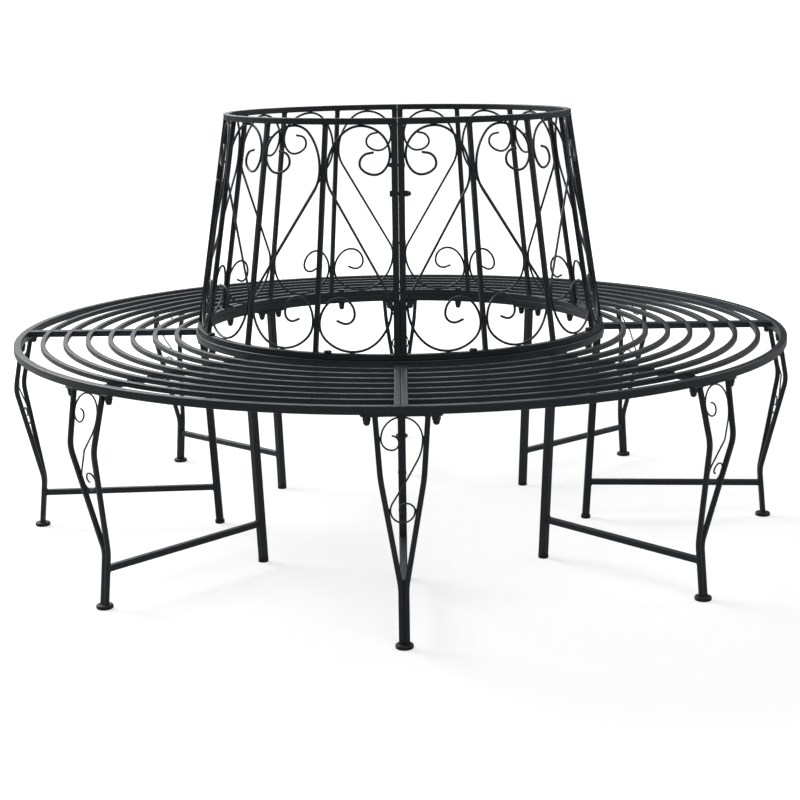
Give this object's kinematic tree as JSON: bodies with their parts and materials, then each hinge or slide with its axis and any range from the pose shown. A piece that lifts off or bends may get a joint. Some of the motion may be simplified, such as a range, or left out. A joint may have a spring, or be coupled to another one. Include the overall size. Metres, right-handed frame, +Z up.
{
  "type": "tree bench",
  "caption": "Round metal garden bench that closes around a tree, with a slatted ring seat, an inward leaning scrollwork backrest and bent tube legs",
  "frame": {"origin": "centre of the ring at floor level, under the feet", "axes": "+Z up; the four seat seams lie on the +X, +Y, -X and -Y axes; -Y faces the viewer of the picture"},
  "size_m": [1.6344, 1.6344, 0.8785],
  "materials": {
    "powder_coat": "satin anthracite powder coat on welded steel tube and wire",
    "foot_plastic": "moulded black foot caps",
    "black_hardware": "blackened bolts, washers and cap nuts"
  },
  "bodies": {
    "root": {"seat_outer_rim_1": "powder_coat", "seat_outer_rim_2": "powder_coat", "seat_outer_rim_3": "powder_coat", "seat_outer_rim_4": "powder_coat", "seat_inner_rim_1": "powder_coat", "seat_inner_rim_2": "powder_coat", "seat_inner_rim_3": "powder_coat", "seat_inner_rim_4": "powder_coat", "seat_slats_1": "powder_coat", "seat_slats_2": "powder_coat", "seat_slats_3": "powder_coat", "seat_slats_4": "powder_coat", "seat_cross_bars_1": "powder_coat", "seat_cross_bars_2": "powder_coat", "seat_cross_bars_3": "powder_coat", "seat_cross_bars_4": "powder_coat", "back_top_rail_1": "powder_coat", "back_top_rail_2": "powder_coat", "back_top_rail_3": "powder_coat", "back_top_rail_4": "powder_coat", "back_bottom_rail_1": "powder_coat", "back_bottom_rail_2": "powder_coat", "back_bottom_rail_3": "powder_coat", "back_bottom_rail_4": "powder_coat", "back_posts_1": "powder_coat", "back_posts_2": "powder_coat", "back_posts_3": "powder_coat", "back_posts_4": "powder_coat", "back_scrolls_1": "powder_coat", "back_scrolls_2": "powder_coat", "back_scrolls_3": "powder_coat", "back_scrolls_4": "powder_coat", "outer_leg_1": "powder_coat", "outer_leg_2": "powder_coat", "outer_leg_3": "powder_coat", "outer_leg_4": "powder_coat", "outer_leg_5": "powder_coat", "outer_leg_6": "powder_coat", "outer_leg_7": "powder_coat", "outer_leg_8": "powder_coat", "inner_leg_1": "powder_coat", "inner_leg_2": "powder_coat", "inner_leg_3": "powder_coat", "inner_leg_4": "powder_coat", "inner_leg_5": "powder_coat", "inner_leg_6": "powder_coat", "inner_leg_7": "powder_coat", "inner_leg_8": "powder_coat", "leg_scrolls": "powder_coat", "stretchers": "powder_coat", "outer_leg_plates": "powder_coat", "inner_leg_plates": "powder_coat", "outer_feet": "foot_plastic", "inner_feet": "foot_plastic", "rim_studs": "black_hardware", "back_bolts": "black_hardware", "washers": "black_hardware", "nuts": "black_hardware"}
  },
  "joints": []
}
